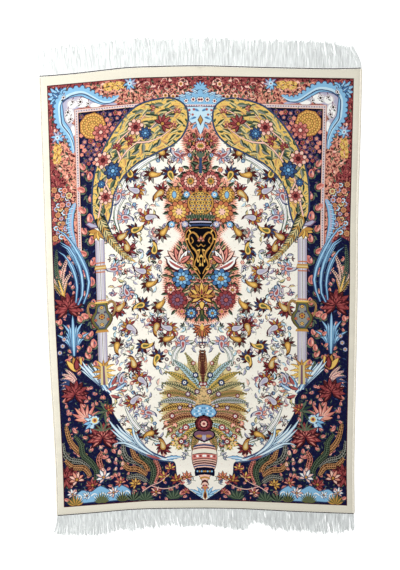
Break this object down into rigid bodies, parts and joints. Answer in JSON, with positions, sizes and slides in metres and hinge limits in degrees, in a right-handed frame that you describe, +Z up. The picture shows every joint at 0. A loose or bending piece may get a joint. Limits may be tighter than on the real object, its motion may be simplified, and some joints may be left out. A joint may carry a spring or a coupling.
{
  "type": "persian rug",
  "caption": "Flat knotted silk rug with overcast side edges, a dark twined cord across each end and loose fringe beyond.",
  "frame": {"origin": "middle of the rug's flat underside, on the centre line halfway between the two end cords", "axes": "+Y along the warps towards the end with the longer fringe, +X across the rug, +Z up out of the pile"},
  "size_m": [1.0066, 1.6342, 0.005],
  "materials": {
    "knotted_silk": "close-clipped silk pile, soft sheen, many dyed colours",
    "selvedge_silk": "ivory silk overcasting, soft sheen",
    "end_cord_yarn": "dark brown twined yarn, matt",
    "fringe_silk": "white silk warp ends, soft sheen"
  },
  "bodies": {
    "root": {"knotted_cloth": "knotted_silk", "selvedge_left": "selvedge_silk", "selvedge_right": "selvedge_silk", "end_cord_top": "end_cord_yarn", "end_cord_bottom": "end_cord_yarn", "fringe_top": "fringe_silk", "fringe_bottom": "fringe_silk"}
  },
  "joints": []
}
